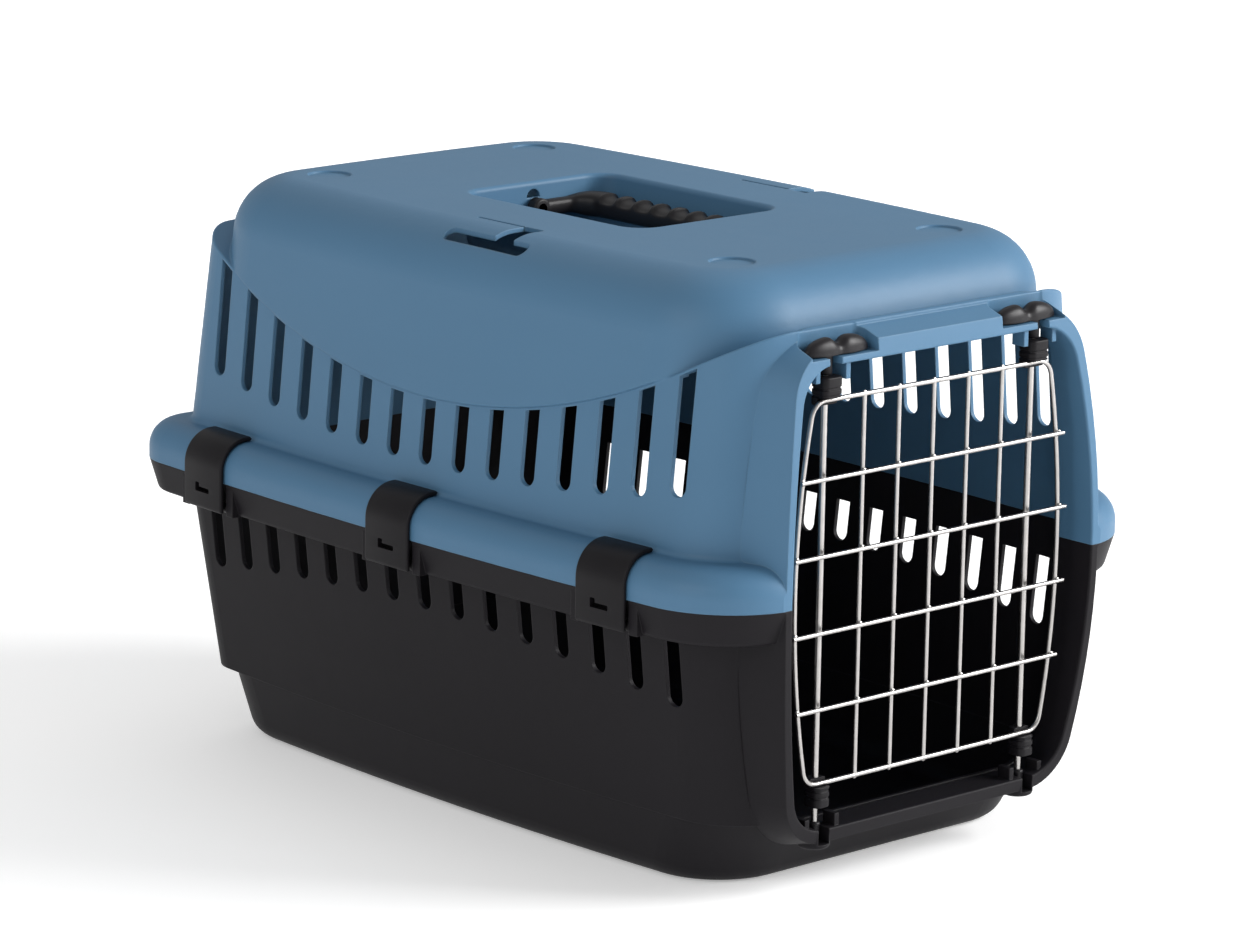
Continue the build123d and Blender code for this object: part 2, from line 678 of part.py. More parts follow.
def make_latch_knob(side, rod):
    """Two-winged thumb knob with a round stem."""
    low = SHELF_Z + KNOB_GAP
    wing_x, wing_z = 0.57 * KNOB_WING, 8.2
    tip_z = 1.5
    cleft_x, cleft_z = 1.5, 5.2
    left = ThreePointArc((-KNOB_WING, tip_z), (-wing_x, wing_z), (-cleft_x, cleft_z))
    dip = ThreePointArc((-cleft_x, cleft_z), (0, cleft_z - 0.5), (cleft_x, cleft_z))
    right = ThreePointArc((cleft_x, cleft_z), (wing_x, wing_z), (KNOB_WING, tip_z))
    foot = Polyline((KNOB_WING, tip_z), (KNOB_WING, 0), (-KNOB_WING, 0), (-KNOB_WING, tip_z))
    profile = make_face([left, dip, right] + foot.edges())
    body = extrude(Location((0, 0, 0), (90, 0, 0)) * profile, KNOB_DEPTH / 2, both=True)
    body = fillet(body.edges().filter_by(Axis.Z), 0.7)
    stem_top = 3.0
    stem_low = LOOP_TOP - GUIDE_GRIP + GUIDE_HEIGHT + KNOB_GAP - low
    stem = Pos(0, 0, (stem_top + stem_low) / 2) * Cylinder(STEM / 2, stem_top - stem_low)
    body = Pos(-side * KNOB_SHIFT, 0, 0) * body
    return Location((side * ROD_X, ROD_Y, low)) * (body + stem) - rod


def make_handle_pins():
    pins = {}
    into_wall = HANDLE_GAP + WALL + 1.2
    length = ARM_THICK + into_wall
    for name, wall_y, way in (("front", POCKET_FRONT, 1), ("rear", POCKET_REAR, -1)):
        centre = wall_y + way * (HANDLE_GAP + ARM_THICK - length / 2)
        pin = Location((0, centre, HANDLE_AXIS_Z), (90, 0, 0)) * Cylinder(HANDLE_PIN / 2, length)
        pins["handle_pin_" + name] = pin
    return pins


def make_carry_handle(pins):
    """Bail handle at rest, folded flat towards +X."""
    front = POCKET_FRONT + HANDLE_GAP
    rear = POCKET_REAR - HANDLE_GAP
    middle = (front + rear) / 2
    grip = Pos(HANDLE_REACH, middle, HANDLE_AXIS_Z) * Box(GRIP_WIDE, rear - front, GRIP_DEEP)
    grip = fillet(grip.edges().filter_by(Axis.Y), GRIP_EDGE)
    grip = fillet(grip.edges().filter_by(Axis.Z), GRIP_CORNER)
    arms = []
    for y in (front + ARM_THICK / 2, rear - ARM_THICK / 2):
        plan = Pos(HANDLE_REACH / 2, 0) * Rectangle(HANDLE_REACH, ARM_HIGH) + Circle(EYE_RADIUS)
        arm = extrude(Location((0, y, HANDLE_AXIS_Z), (90, 0, 0)) * plan, ARM_THICK / 2, both=True)
        arms.append(arm)
    handle = grip + arms
    for place in range(SCALLOPS):
        y = middle + SCALLOP_PITCH * (place - (SCALLOPS - 1) / 2)
        z = HANDLE_AXIS_Z + GRIP_DEEP / 2 + SCALLOP_RADIUS - SCALLOP_DEPTH
        cell = Location((HANDLE_REACH + SCALLOP_SHIFT, y, z)) * Sphere(SCALLOP_RADIUS)
        handle = handle - cell
    for pin in pins.values():
        handle = handle - pin
    return handle


def main():
    nodes = {"top_shell": make_top_shell(), "base_tub": make_base_tub()}
    for side, side_name in ((-1, "left"), (1, "right")):
        for name, y in CLIP_CENTRES:
            nodes["rim_clip_" + side_name + "_" + name] = make_rim_clip(side, y)
    nodes["clip_hinge_pins"] = make_clip_pins()
    loop = make_door_loop()
    nodes["door_loop_wire"] = loop
    nodes["door_cross_wires"] = make_door_bars()
    nodes["door_upright_wires"] = make_door_uprights(loop)
    for side, side_name in ((-1, "left"), (1, "right")):
        rod = make_latch_rod(side)
        nodes["latch_rod_" + side_name] = rod
        nodes["latch_knob_" + side_name] = make_latch_knob(side, rod)
        nodes["latch_foot_" + side_name] = make_latch_foot(side, rod)
        upper_z = LOOP_TOP - GUIDE_GRIP
        lower_z = LOOP_BOTTOM + GUIDE_GRIP - GUIDE_HEIGHT
        nodes["rod_guide_upper_" + side_name] = make_rod_guide(side, GUIDE_WIDTH, upper_z, loop)
        nodes["rod_guide_lower_" + side_name] = make_rod_guide(side, LOWER_GUIDE_WIDTH, lower_z, loop)
    pins = make_handle_pins()
    nodes.update(pins)
    nodes["carry_handle"] = make_carry_handle(pins)
    os.makedirs("parts", exist_ok=True)
    for name, shape in nodes.items():
        export_step(Part(shape.wrapped) if isinstance(shape, Solid) else shape, f"parts/{name}.step")
        print(name, len(shape.solids()), round(shape.volume))


main()
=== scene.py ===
import json
import math

import bmesh
import bpy
import numpy as np
from mathutils import Matrix, Vector


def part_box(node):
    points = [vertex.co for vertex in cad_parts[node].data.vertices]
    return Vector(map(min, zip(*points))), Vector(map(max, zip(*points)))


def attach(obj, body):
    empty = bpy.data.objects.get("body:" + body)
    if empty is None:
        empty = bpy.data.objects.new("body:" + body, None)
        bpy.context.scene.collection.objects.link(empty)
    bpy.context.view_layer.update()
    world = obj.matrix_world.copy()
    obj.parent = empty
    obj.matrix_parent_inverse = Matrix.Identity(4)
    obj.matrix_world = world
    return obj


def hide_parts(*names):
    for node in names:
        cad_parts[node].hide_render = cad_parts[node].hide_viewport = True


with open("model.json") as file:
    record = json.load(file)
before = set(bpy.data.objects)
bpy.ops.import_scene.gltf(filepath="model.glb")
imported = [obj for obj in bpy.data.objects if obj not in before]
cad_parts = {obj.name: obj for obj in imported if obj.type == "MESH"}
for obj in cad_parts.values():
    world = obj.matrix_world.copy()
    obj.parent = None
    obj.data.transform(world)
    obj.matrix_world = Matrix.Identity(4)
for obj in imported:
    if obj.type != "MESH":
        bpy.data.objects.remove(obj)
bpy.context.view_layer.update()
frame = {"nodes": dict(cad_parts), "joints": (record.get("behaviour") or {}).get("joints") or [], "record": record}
nodes = frame["nodes"]
mm = 0.001


# a shader socket that takes + - * and comparisons, each of which adds a Math node
class Sock:
    def __init__(self, finish, link):
        self.finish = finish
        self.link = link

    def maths(self, operation, first, second):
        return self.finish.node("ShaderNodeMath", {"operation": operation}, [first, second])

    def __add__(self, other):
        return self.maths("ADD", self, other)

    def __radd__(self, other):
        return self.maths("ADD", other, self)

    def __sub__(self, other):
        return self.maths("SUBTRACT", self, other)

    def __rsub__(self, other):
        return self.maths("SUBTRACT", other, self)

    def __mul__(self, other):
        return self.maths("MULTIPLY", self, other)

    def __rmul__(self, other):
        return self.maths("MULTIPLY", other, self)

    def over(self, other):
        return self.maths("GREATER_THAN", self, other)

    def least(self, other):
        return self.maths("MINIMUM", self, other)


# one material: a Principled shader and the nodes that drive it
class Finish:
    def __init__(self, name):
        self.material = bpy.data.materials.new(name)
        self.material.use_nodes = True
        self.tree = self.material.node_tree
        self.tree.nodes.clear()
        self.shader = self.tree.nodes.new("ShaderNodeBsdfPrincipled")
        out = self.tree.nodes.new("ShaderNodeOutputMaterial")
        self.tree.links.new(self.shader.outputs["BSDF"], out.inputs["Surface"])

    # one node: its type, its settings, then the values or links of its sockets; gives the named output
    def node(self, kind, settings=None, values=(), output=0):
        made = self.tree.nodes.new(kind)
        for key, value in (settings or {}).items():
            setattr(made, key, value)
        pairs = values.items() if isinstance(values, dict) else enumerate(values)
        for key, value in pairs:
            self.join(made.inputs[key], value)
        return Sock(self, made.outputs[output])

    # feeds one socket with a link or a plain value
    def join(self, socket, value):
        if isinstance(value, Sock):
            self.tree.links.new(value.link, socket)
        else:
            socket.default_value = value

    def place(self):
        return self.node("ShaderNodeTexCoord", output="Object")

    def noise(self, scale, detail=3.0, roughness=0.5, where=None):
        return self.node("ShaderNodeTexNoise", None,
                         {"Vector": where or self.place(), "Scale": scale, "Detail": detail,
                          "Roughness": roughness}, "Fac")

    def mix(self, factor, low, high):
        return self.node("ShaderNodeMix", {"data_type": "RGBA"}, {0: factor, 6: low, 7: high}, 2)

    def bump(self, height, strength, distance, under=None):
        values = {"Strength": strength, "Distance": distance, "Height": height}
        if under:
            values["Normal"] = under
        return self.node("ShaderNodeBump", None, values, "Normal")

    def put(self, **sockets):
        for key, value in sockets.items():
            self.join(self.shader.inputs[key.replace("_", " ")], value)


# each plastic: two pigment tones, tone of the painted edge highlight, roughness, sheen level, grain sizes and
# strengths
plastics = {
    "blue_shell": dict(
        deep=(0.058, 0.145, 0.245), pale=(0.072, 0.170, 0.282), edgeHighlightTone=(0.12, 0.235, 0.35),
        cloud=9, gloss=0.40, shine=0.30, pits=900, grain=2600, strength=0.16, soft=1.0),
    "black_tub": dict(
        deep=(0.0070, 0.0062, 0.0078), pale=(0.0105, 0.0092, 0.0115), edgeHighlightTone=(0.026, 0.025, 0.027),
        cloud=11, gloss=0.44, shine=0.14, pits=1100, grain=3000, strength=0.18, soft=0.9),
    "black_trim": dict(
        deep=(0.0062, 0.0055, 0.0068), pale=(0.0095, 0.0085, 0.0103), edgeHighlightTone=(0.024, 0.023, 0.025),
        cloud=60, gloss=0.36, shine=0.16, pits=1500, grain=3600, strength=0.13, soft=0.3),
    "gloss_knob": dict(
        deep=(0.0070, 0.0062, 0.0075), pale=(0.0110, 0.0100, 0.0120), edgeHighlightTone=(0.034, 0.032, 0.036),
        cloud=90, gloss=0.30, shine=0.24, pits=700, grain=3600, strength=0.09, soft=0.3),
    "black_handle": dict(
        deep=(0.0062, 0.0056, 0.0066), pale=(0.0100, 0.0090, 0.0106), edgeHighlightTone=(0.026, 0.025, 0.027),
        cloud=70, gloss=0.33, shine=0.25, pits=1300, grain=3300, strength=0.14, soft=0.3),
}


# moulded plastic: cloudy pigment with faint flow lines, spark-eroded grain, smoother edges that are also painted
# paler as a painted edge highlight
def mouldedPlastic(slotName):
    look = plastics[slotName]
    f = Finish(slotName + "_plastic")
    cloud = f.noise(look["cloud"], 4)
    stretched = f.node("ShaderNodeMapping", None, {"Vector": f.place(), "Scale": (22, 5, 34)}, "Vector")
    flow = f.noise(1.0, 2, where=stretched)
    grain = f.noise(look["grain"], 2, 0.6)
    pits = f.noise(look["pits"], 3, 0.55)
    dust = f.noise(look["cloud"] * 6, 5, 0.7)
    rounded = f.node("ShaderNodeBevel", {"samples": 6}, {"Radius": look["soft"] * mm}, "Normal")
    flat = f.node("ShaderNodeNewGeometry", output="Normal")
    facing = f.node("ShaderNodeVectorMath", {"operation": "DOT_PRODUCT"}, [rounded, flat], "Value")
    edge = 1 - facing
    # paler colour along edges, broken up by noise: a painted edge highlight
    paintedEdgeHighlight = (edge * 5 * dust).least(0.8)
    pigment = f.mix(cloud * 0.6 + flow * 0.4, (*look["deep"], 1), (*look["pale"], 1))
    f.put(Base_Color=f.mix(paintedEdgeHighlight, pigment, (*look["edgeHighlightTone"], 1)),
          Roughness=look["gloss"] + 0.08 * pits + 0.06 * flow + 0.05 * dust - 0.08 * paintedEdgeHighlight,
          Normal=f.bump(grain * 0.5 + pits * 0.5, look["strength"], 0.0004, rounded),
          Specular_IOR_Level=look["shine"])
    return f.material


wirePaint = dict(bright=(0.56, 0.54, 0.525, 1), dull=(0.36, 0.348, 0.338, 1), stain=(0.17, 0.155, 0.14, 1))


# bright-plated wire: drawn lines, clouds where the plating thins, a few dull specks
def steelWire():
    f = Finish("plated_steel_wire")
    cloud = f.noise(160, 3)
    drawn = f.noise(1400, 2, 0.5)
    speck = f.noise(900, 4, 0.7).over(0.66)
    plating = f.mix(cloud, wirePaint["dull"], wirePaint["bright"])
    f.put(Base_Color=f.mix(speck * 0.5, plating, wirePaint["stain"]),
          Metallic=1.0, Roughness=0.22 + 0.14 * cloud + 0.05 * drawn + 0.15 * speck,
          Normal=f.bump(drawn, 0.06, 0.0003))
    return f.material


paper = dict(tone=0.92, nearGlow=0.31, farGlow=0.66, glowFrom=0.3, glowTo=2.2)


# pale paper floor that glows: painted light, kept faint beside the carrier as painted shade and stronger with
# distance from the middle
def paleFloor():
    f = Finish("paleFloor")
    away = f.node("ShaderNodeVectorMath", {"operation": "LENGTH"}, [f.place()], "Value")
    far = f.node("ShaderNodeMapRange", {"interpolation_type": "SMOOTHSTEP"},
                 {"Value": away, "From Min": paper["glowFrom"], "From Max": paper["glowTo"]}, "Result")
    near, rim = ((paper[k],) * 3 + (1,) for k in ("nearGlow", "farGlow"))
    f.put(Base_Color=(paper["tone"],) * 3 + (1,), Roughness=0.75, Specular_IOR_Level=0.2,
          # the floor's glow is painted light; its lower level near the carrier is painted shade
          Emission_Color=f.mix(far, near, rim), Emission_Strength=1.0,
          Normal=f.bump(f.noise(40, 3), 0.02, 0.001))
    return f.material


finishes = {slotName: mouldedPlastic(slotName) for slotName in plastics}
finishes["steel_wire"] = steelWire()
slotOf = {s["node"]: s["material_slot"] for s in frame["record"]["subparts"]}
for name, node in nodes.items():
    node.data.materials.clear()
    node.data.materials.append(finishes[slotOf[name]])
print("finishes: done")


# closed skin through rings of points: both ends are drawn to a pole, or the last ring joins the first
def skin(rings, loop=False):
    rings = np.asarray(rings, float)
    rows, columns = rings.shape[:2]
    row, column = np.meshgrid(np.arange(rows if loop else rows - 1), np.arange(columns), indexing="ij")
    nextRow, nextColumn = (row + 1) % rows * columns, (column + 1) % columns
    row = row * columns
    faces = np.stack([row + column, row + nextColumn, nextRow + nextColumn, nextRow + column], -1)
    faces = faces.reshape(-1, 4).tolist()
    points = rings.reshape(-1, 3)
    if not loop:
        around = np.arange(columns)
        ahead = np.roll(around, -1)
        pole = rows * columns
        last = pole - columns
        faces += np.stack([ahead, around, np.full(columns, pole)], -1).tolist()
        faces += np.stack([last + around, last + ahead, np.full(columns, pole + 1)], -1).tolist()
        points = np.concatenate([points, rings[:1].mean(1), rings[-1:].mean(1)])
    return points, faces


# rounded rectangle round the origin: four quarter arcs joined by straight sides
def roundRectangle(halfX, halfY, radius, steps=6):
    angle = np.radians(np.arange(4)[:, None] * 90 + np.linspace(0, 90, steps))
    cornerX = np.array([1, -1, -1, 1])[:, None] * (halfX - radius)
    cornerY = np.array([1, 1, -1, -1])[:, None] * (halfY - radius)
    return np.stack([cornerX + radius * np.cos(angle), cornerY + radius * np.sin(angle)], -1).reshape(-1, 2)


# closed superellipse: both axes scaled by half widths, the power squares it off
def superellipse(power, steps):
    angle = np.linspace(0, 2 * np.pi, steps, endpoint=False)
    bend = 2 / power
    return np.stack([np.sign(np.cos(angle)) * np.abs(np.cos(angle)) ** bend,
                     np.sign(np.sin(angle)) * np.abs(np.sin(angle)) ** bend], -1)


# surface of revolution about an upright line: each profile point is a radius and a height
def lathe(profile, centre, steps=32):
    profile = np.asarray(profile, float)
    angle = np.linspace(0, 2 * np.pi, steps, endpoint=False)
    circle = np.stack([np.cos(angle), np.sin(angle)], -1)
    rings = np.concatenate([circle[None] * profile[:, :1, None],
                            np.broadcast_to(profile[:, 1:, None], (len(profile), steps, 1))], -1)
    return skin(rings + np.array([centre[0], centre[1], 0]))


# quarter circle from straight out to straight up, for rounding an edge of a profile
def quarter(radius, steps=5):
    angle = np.linspace(0, np.pi / 2, steps)
    return radius * np.cos(angle), radius * np.sin(angle)


# 0 below low, 1 above high, an S curve between
def smooth(value, low, high):
    t = np.clip((value - low) / (high - low), 0, 1)
    return t * t * (3 - 2 * t)


# one mesh object from several closed skins, in metres, with its faces turned outwards
def makePiece(name, skins, slotName, sharp=38):
    points, faces, start = [], [], 0
    for skinPoints, skinFaces in skins:
        points.append(skinPoints)
        faces += [[start + corner for corner in face] for face in skinFaces]
        start += len(skinPoints)
    mesh = bpy.data.meshes.new(name)
    mesh.from_pydata(np.concatenate(points).tolist(), [], faces)
    shape = bmesh.new()
    shape.from_mesh(mesh)
    bmesh.ops.recalc_face_normals(shape, faces=shape.faces)
    shape.to_mesh(mesh)
    shape.free()
    mesh.materials.append(finishes[slotName])
    mesh.shade_smooth()
    mesh.set_sharp_from_angle(angle=math.radians(sharp))
    piece = bpy.data.objects.new(name, mesh)
    bpy.context.scene.collection.objects.link(piece)
    return piece


# puts a piece on its body and hides the CAD nodes that it stands for
def settle(piece, body, slotName, *stoodFor):
    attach(piece, body)
    if stoodFor:
        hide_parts(*stoodFor)


bodyOf = {node: body for body, names in frame["record"]["behaviour"]["bodies"].items() for node in names}


# carrying handle: one bent bar whose section swells into the grip
bail = dict(armWide=3.5, armHigh=4.2, gripWide=7.4, gripHigh=6.5, corner=15.0, eye=5.5, eyeEdge=1.2,
            hollows=7, pitch=13.5, hollowDepth=2.3, hollowShare=0.41, square=2.6,
            backShare=0.8, topFade=(0.15, 0.8), backFade=(0.2, 0.9), underFade=(-0.5, 0.2),
            turnSteps=14, armSteps=9, gripSteps=154, aroundSteps=40)


# centre line in the fold plane: arm, quarter turn, grip, quarter turn, arm; section grows along the turns
def makeHandle():
    low, high = (np.array(corner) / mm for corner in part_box("carry_handle"))
    level = (low[2] + high[2]) / 2
    reach = high[0] - bail["gripWide"]
    near, far = low[1] + bail["armWide"], high[1] - bail["armWide"]
    turn = np.linspace(0, np.pi / 2, bail["turnSteps"])
    corner = bail["corner"]
    arm = np.linspace(0, reach - corner, bail["armSteps"])[:-1]
    along = np.linspace(near + corner, far - corner, bail["gripSteps"])[1:-1]
    x = np.concatenate([arm, reach - corner + corner * np.sin(turn), np.full(len(along), reach),
                        reach - corner + corner * np.cos(turn), arm[::-1]])
    y = np.concatenate([np.full(len(arm), near), near + corner - corner * np.cos(turn), along,
                        far - corner + corner * np.sin(turn), np.full(len(arm), far)])
    run = np.stack([np.gradient(x), np.gradient(y)], -1)
    run /= np.linalg.norm(run, axis=1, keepdims=True)
    outward = np.stack([run[:, 1], -run[:, 0]], -1)
    swell = smooth(x, reach - corner, reach - 2)
    wide = bail["armWide"] + (bail["gripWide"] - bail["armWide"]) * swell
    tall = bail["armHigh"] + (bail["gripHigh"] - bail["armHigh"]) * swell
    section = superellipse(bail["square"], bail["aroundSteps"])
    side = section[None, :, 0] * wide[:, None]
    up = section[None, :, 1] * tall[:, None]
    place = (y - (near + far) / 2) / bail["pitch"]
    within = np.abs(place) < bail["hollows"] / 2
    offset = place - np.round(place)
    scoop = within * np.sqrt(np.clip(1 - (offset / bail["hollowShare"]) ** 2, 0, 1))
    onTop = smooth(section[:, 1], *bail["topFade"])
    onBack = smooth(section[:, 0], *bail["backFade"]) * smooth(section[:, 1], *bail["underFade"])
    up = up - bail["hollowDepth"] * scoop[:, None] * onTop
    side = side - bail["backShare"] * bail["hollowDepth"] * scoop[:, None] * onBack
    rings = np.stack([x[:, None] + side * outward[:, :1], y[:, None] + side * outward[:, 1:],
                      level + up], -1)
    skins = [skin(rings * mm)]
    for eyeY in (near, far):
        half, radius, edge = bail["armWide"], bail["eye"], bail["eyeEdge"]
        out, rise = quarter(edge)
        profile = [(radius - edge + o, -half + edge - r) for o, r in zip(out[::-1], rise[::-1])]
        profile += [(radius - edge + o, half - edge + r) for o, r in zip(out, rise)]
        points, faces = lathe(profile, (0, 0))
        skins.append((np.stack([points[:, 0], eyeY + points[:, 2], level + points[:, 1]], -1) * mm, faces))
    piece = makePiece("handle_grip", skins, "black_handle", 50)
    settle(piece, "handle", "black_handle", "carry_handle")


makeHandle()
print("carrying handle: done")


# latch knobs: two-lobed thumb pieces on round stems
knob = dict(lobe=8.2, cleft=0.44, cleftWidth=0.17, tip=0.9, pinch=0.16, round=3.2, shoulder=0.62,
            taper=3.4, arch=0.8, lift=0.35, stem=3.4, stemEdge=0.6, collar=0.5, collarDrop=(1.2, 0.6),
            stemInside=2, sole=0.35)


# height along the wings is an oval arch with a smooth dip at its middle; sections are squared half ovals
def makeKnob(side):
    node = "latch_knob_" + side
    low, high = (np.array(corner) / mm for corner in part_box(node))
    rodLow, rodHigh = (np.array(corner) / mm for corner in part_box("latch_rod_" + side))
    rod = (rodLow + rodHigh) / 2
    middle = (low + high) / 2
    wing, depth = (high[0] - low[0]) / 2, (high[1] - low[1]) / 2
    base = high[2] - knob["lobe"]
    u = np.sin(np.linspace(-np.pi / 2, np.pi / 2, 61))[1:-1]
    dip = np.exp(-(u / knob["cleftWidth"]) ** 2)
    arch = (1 - np.abs(u) ** knob["round"]) ** knob["shoulder"]
    height = (knob["tip"] + (knob["lobe"] - knob["tip"]) * arch) * (1 - knob["cleft"] * dip)
    halfDepth = depth * np.sqrt(1 - np.abs(u) ** knob["taper"]) * (1 - knob["pinch"] * dip)
    angle = np.linspace(0, np.pi, 17)
    top = np.stack([np.cos(angle), np.sin(angle) ** knob["arch"]], -1)
    soleY = np.linspace(-1, 1, 9)[1:-1]
    section = np.concatenate([top, np.stack([soleY, np.zeros_like(soleY)], -1)])
    y = middle[1] + halfDepth[:, None] * section[None, :, 0]
    z = base + height[:, None] * section[None, :, 1]
    belly = knob["sole"] * (1 - u ** 2)[:, None] * (section[None, :, 1] < 0.02)
    x = np.broadcast_to(middle[0] + wing * u[:, None], y.shape)
    wings = skin(np.stack([x, y, z - belly + knob["lift"]], -1) * mm)
    radius, edge, collar = knob["stem"], knob["stemEdge"], knob["collar"]
    foot = low[2]
    drop, drip = knob["collarDrop"]
    profile = [(radius - edge, foot), (radius - 0.3 * edge, foot + 0.3 * edge), (radius, foot + edge),
               (radius, base - drop), (radius + collar, base - drip),
               (radius + collar, base + knob["stemInside"])]
    stem = lathe(np.array(profile) * mm, rod * mm)
    piece = makePiece("thumb_knob_" + side, [wings, stem], "gloss_knob", 60)
    settle(piece, bodyOf[node], "gloss_knob", node)


rodFoot = dict(nose=0.9, noseHigh=1.1, bevel=0.6, neckFrom=3.6, neckTo=2.6)


# foot of a latch rod: a pin with a bullet nose and a small shoulder, all shares of its radius or bevel
def makeFoot(side):
    node = "latch_foot_" + side
    low, high = (np.array(corner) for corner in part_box(node))
    centre, radius = (low + high) / 2, (high[0] - low[0]) / 2
    nose = np.linspace(0, np.pi / 2, 9)[1:, None]
    slim, bevel = rodFoot["nose"] * radius, rodFoot["bevel"] * mm
    profile = np.concatenate([
        np.hstack([slim * np.sin(nose), low[2] + rodFoot["noseHigh"] * radius * (1 - np.cos(nose))]),
        [(slim, high[2] - rodFoot["neckFrom"] * bevel), (radius, high[2] - rodFoot["neckTo"] * bevel),
         (radius, high[2] - bevel), (radius - bevel, high[2])]])
    piece = makePiece("rod_foot_" + side, [lathe(profile, centre)], "gloss_knob", 50)
    settle(piece, bodyOf[node], "gloss_knob", node)


# rod guides: ribbed blocks with a bore for the rod, set back behind the loop wire
guide = dict(corner=3.4, edge=0.8, gap=0.12, rib=0.45, ribs=(0.34, 0.6), ribHalf=0.8, lip=0.25,
             wireRoom=0.1, step=0.02)


# the block's wall profile runs up the outside, over the top edge, down the bore and round the bottom edge
def makeGuide(level, side):
    node = "rod_guide_" + level + "_" + side
    low, high = (np.array(corner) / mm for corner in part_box(node))
    rodLow, rodHigh = (np.array(corner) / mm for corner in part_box("latch_rod_" + side))
    rod, bore = (rodLow + rodHigh)[:2] / 2, (rodHigh - rodLow)[0] / 2 + guide["gap"]
    loopLow, loopHigh = (np.array(corner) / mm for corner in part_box("door_loop_wire"))
    if level == "upper":
        ledge, towardWire = loopHigh[2] + guide["wireRoom"], -1
    else:
        ledge, towardWire = loopLow[2] - guide["wireRoom"], 1
    size, middle = (high - low)[:2] / 2, (high + low)[:2] / 2
    outline = roundRectangle(size[0], size[1], guide["corner"], 8)
    edge = guide["edge"]
    out, rise = quarter(edge)
    stations = [(edge - o, low[2] + edge - r) for o, r in zip(out[::-1], rise[::-1])]
    for share in guide["ribs"]:
        z = low[2] + share * (high[2] - low[2])
        half, rib = guide["ribHalf"], guide["rib"]
        stations += [(0, z - half), (rib, z - half / 2), (rib, z + half / 2), (0, z + half)]
    stations += [(edge - o, high[2] - edge + r) for o, r in zip(out, rise)]
    stations += [(0, ledge - guide["step"]), (0, ledge + guide["step"])]
    rings = []
    for inset, z in sorted(stations, key=lambda station: station[1]):
        ring = outline * (1 - inset / size) + middle
        if towardWire * (z - ledge) > 0:
            ring[:, 1] = np.maximum(ring[:, 1], loopHigh[1] + guide["wireRoom"])
        rings.append(np.column_stack([ring, np.full(len(ring), z)]))
    reachOut = outline + middle - rod
    circle = reachOut / np.linalg.norm(reachOut, axis=1, keepdims=True)
    lip = guide["lip"]
    boreLine = ((bore + lip, high[2]), (bore, high[2] - lip), (bore, low[2] + lip), (bore + lip, low[2]))
    for radius, z in boreLine:
        rings.append(np.column_stack([rod + radius * circle, np.full(len(circle), z)]))
    shell = skin(np.array(rings) * mm, loop=True)
    piece = makePiece("guide_block_" + level + "_" + side, [shell], "black_trim")
    settle(piece, bodyOf[node], "black_trim", node)


for side in ("left", "right"):
    makeKnob(side)
    makeFoot(side)
    for level in ("upper", "lower"):
        makeGuide(level, side)
print("latches: done")


# rim clips: a strap that hugs the rim and curls round its hinge pin
strap = dict(gap=0.35, thick=2.4, edge=0.95, bendRadius=14.0, axisIn=3.4, rimTop=33.5, lip=3.4, curl=40,
             flatten=0.55, nose=1.2, noseIn=0.6, barrel=2.6, barrelEdge=0.4, barrelBore=1.35,
             web=1.2, webIn=1.0, webEdge=0.5, webFrom=1.8, webTo=4.6, cutDepth=12, cutCorner=0.45,
             window=(6.0, 1.3), windowAt=(0, 7.9), notch=(1.7, 2.4), notchAt=(-4.3, 9.0))


# the strap's middle line, seen along the pin: curl, straight leg, quarter bend over the rim, lip
def strapLine():
    run = strap["axisIn"] + strap["gap"] + strap["thick"] / 2
    bend = strap["bendRadius"] + strap["gap"] + strap["thick"] / 2
    bendX, bendZ = strap["axisIn"] - strap["bendRadius"], strap["rimTop"] - strap["bendRadius"]
    curl = np.radians(np.linspace(-strap["curl"], 0, 14))
    turn = np.radians(np.linspace(0, 90, 22))
    x = np.concatenate([run * np.cos(curl), np.full(16, run), bendX + bend * np.cos(turn),
                        np.linspace(bendX, bendX - strap["lip"], 5)[1:]])
    z = np.concatenate([run * np.sin(curl) * strap["flatten"], np.linspace(0, bendZ, 18)[1:-1],
                        bendZ + bend * np.sin(turn), np.full(4, bendZ + bend)])
    return x, z


# a rounded flat section carried along the strap's line, thinned to a rounded nose at both ends
def clipStrap(halfWidth):
    x, z = strapLine()
    dx, dz = np.gradient(x), np.gradient(z)
    length = np.hypot(dx, dz)
    outX, outZ = dz / length, -dx / length
    section = roundRectangle(strap["thick"] / 2, halfWidth, strap["edge"], 5)
    travel = np.cumsum(length)
    fromEnd = np.minimum(travel - travel[0], travel[-1] - travel)
    thin = np.sqrt(np.clip(1 - (1 - np.clip(fromEnd / strap["nose"], 0, 1)) ** 2, 0.05, 1))
    across = section[None, :, 0] * thin[:, None]
    drawnIn = np.sign(section[:, 1]) * strap["noseIn"] * (1 - thin[:, None])
    along = section[None, :, 1] - drawnIn
    return np.stack([x[:, None] + across * outX[:, None], along, z[:, None] + across * outZ[:, None]], -1)


# upright-sided block with rounded corners, used to cut the window and its notch
def blockCutter(halfSize, centre):
    outline = roundRectangle(*halfSize, min(halfSize) * strap["cutCorner"], 5) + centre
    rings = [np.column_stack([np.full(len(outline), x), outline]) for x in (0, strap["cutDepth"])]
    return makePiece("cutter", [skin(np.array(rings) * mm)], "black_trim")


# cuts one piece by another and throws the cutter away
def carve(piece, cutter):
    change = piece.modifiers.new("cut", "BOOLEAN")
    change.object = cutter
    change.solver = "EXACT"
    bpy.context.view_layer.update()
    ready = piece.evaluated_get(bpy.context.evaluated_depsgraph_get())
    cutMesh = bpy.data.meshes.new_from_object(ready)
    piece.modifiers.clear()
    old = piece.data
    piece.data = cutMesh
    bpy.data.meshes.remove(old)
    bpy.data.objects.remove(cutter)


